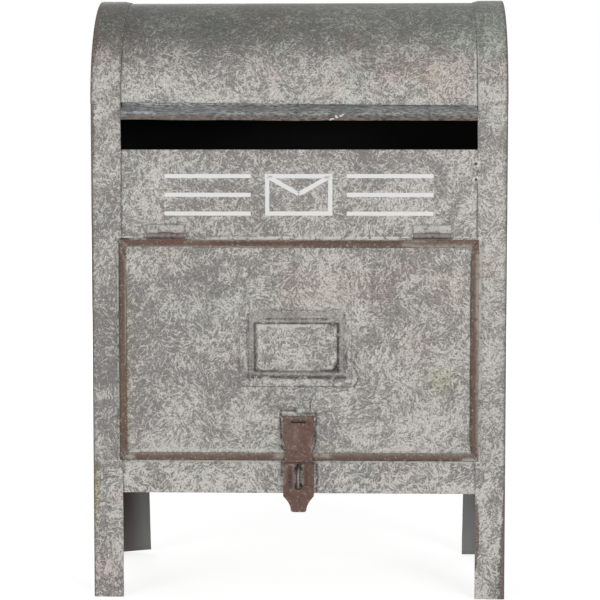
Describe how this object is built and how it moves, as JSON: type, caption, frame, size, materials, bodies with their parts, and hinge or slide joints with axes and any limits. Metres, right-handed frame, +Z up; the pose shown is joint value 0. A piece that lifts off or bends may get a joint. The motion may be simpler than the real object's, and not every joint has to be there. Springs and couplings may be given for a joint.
{
  "type": "wall mounted mailbox",
  "caption": "Sheet-metal letter box on four corner angles with a half-barrel roof, hooded letter slot, top-hinged door, card holder and padlock hasp",
  "frame": {"origin": "on the ground, under the middle of the outer box of the whole part", "axes": "+Z up, +X to the right seen from the front, +Y from the front towards the wall; the front with the slot and the door looks along -Y"},
  "size_m": [0.26, 0.149, 0.38],
  "materials": {
    "zinc_sheet": "dull zinc-grey sheet with fine frosty brush strokes, faint tint patches and brown wear on the edges",
    "worn_trim": "brown, rust-toned worn steel of the hinges, hasp, hood lip and door rim",
    "bare_steel": "bright bare steel wire and pins, worn by the padlock"
  },
  "bodies": {
    "root": {"front_left_leg": "zinc_sheet", "front_right_leg": "zinc_sheet", "rear_left_leg": "zinc_sheet", "rear_right_leg": "zinc_sheet", "left_arch_strip": "zinc_sheet", "right_arch_strip": "zinc_sheet", "left_side_panel": "zinc_sheet", "right_side_panel": "zinc_sheet", "front_panel": "zinc_sheet", "back_panel": "zinc_sheet", "floor_panel": "zinc_sheet", "roof_barrel": "zinc_sheet", "slot_hood": "worn_trim", "left_hinge_frame_leaf": "zinc_sheet", "right_hinge_frame_leaf": "zinc_sheet", "left_hinge_pin": "bare_steel", "right_hinge_pin": "bare_steel", "hasp_staple": "bare_steel"},
    "door": {"door_panel": "zinc_sheet", "door_rim_top": "worn_trim", "door_rim_right": "worn_trim", "door_rim_bottom": "worn_trim", "door_rim_left": "worn_trim", "left_hinge_door_leaf": "worn_trim", "right_hinge_door_leaf": "worn_trim", "card_holder_plate": "zinc_sheet", "card_holder_frame": "zinc_sheet", "hasp_leaf": "worn_trim", "hasp_pin": "bare_steel"},
    "hasp": {"hasp_strap": "worn_trim"}
  },
  "joints": [
    {"name": "door_hinge", "type": "hinge", "parent": "root", "child": "door", "pos_m": [0, -0.0625, 0.2298], "axis": [-1, 0, 0], "range_deg": [0, 150]},
    {"name": "hasp_hinge", "type": "hinge", "parent": "door", "child": "hasp", "pos_m": [0, -0.06615, 0.115], "axis": [-1, 0, 0], "range_deg": [0, 160]}
  ]
}
